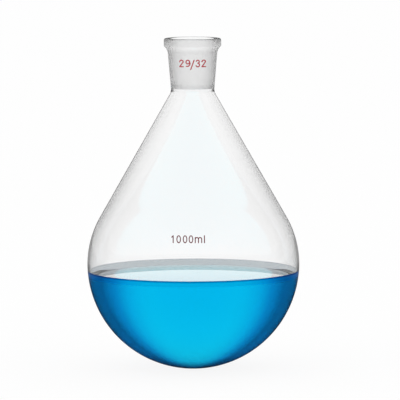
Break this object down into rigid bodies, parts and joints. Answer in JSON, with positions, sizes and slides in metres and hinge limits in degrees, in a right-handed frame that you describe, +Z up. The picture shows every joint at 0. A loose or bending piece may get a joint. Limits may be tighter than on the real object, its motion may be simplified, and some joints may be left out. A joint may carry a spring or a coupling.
{
  "type": "round-bottom flask",
  "caption": "Pear-shaped round-bottom glass flask with a long conical shoulder, a collared ground-glass socket and a blue liquid inside, for boiling or evaporating on a standard joint.",
  "frame": {"origin": "centre of the mouth of the ground socket, in the plane of its rim", "axes": "+Z up along the flask's axis and out of the socket; -Y towards the side that carries the printed marks"},
  "size_m": [0.1414, 0.1414, 0.2207],
  "materials": {
    "clear_glass": "clear blown borosilicate glass, ground matt inside the socket",
    "blue_liquid": "clear blue-dyed water",
    "red_enamel": "thin fired red enamel",
    "dark_red_enamel": "thin fired dark red enamel"
  },
  "bodies": {
    "root": {"flask_glass": "clear_glass", "blue_liquid": "blue_liquid", "joint_size_mark": "red_enamel", "capacity_mark": "dark_red_enamel"}
  },
  "joints": []
}
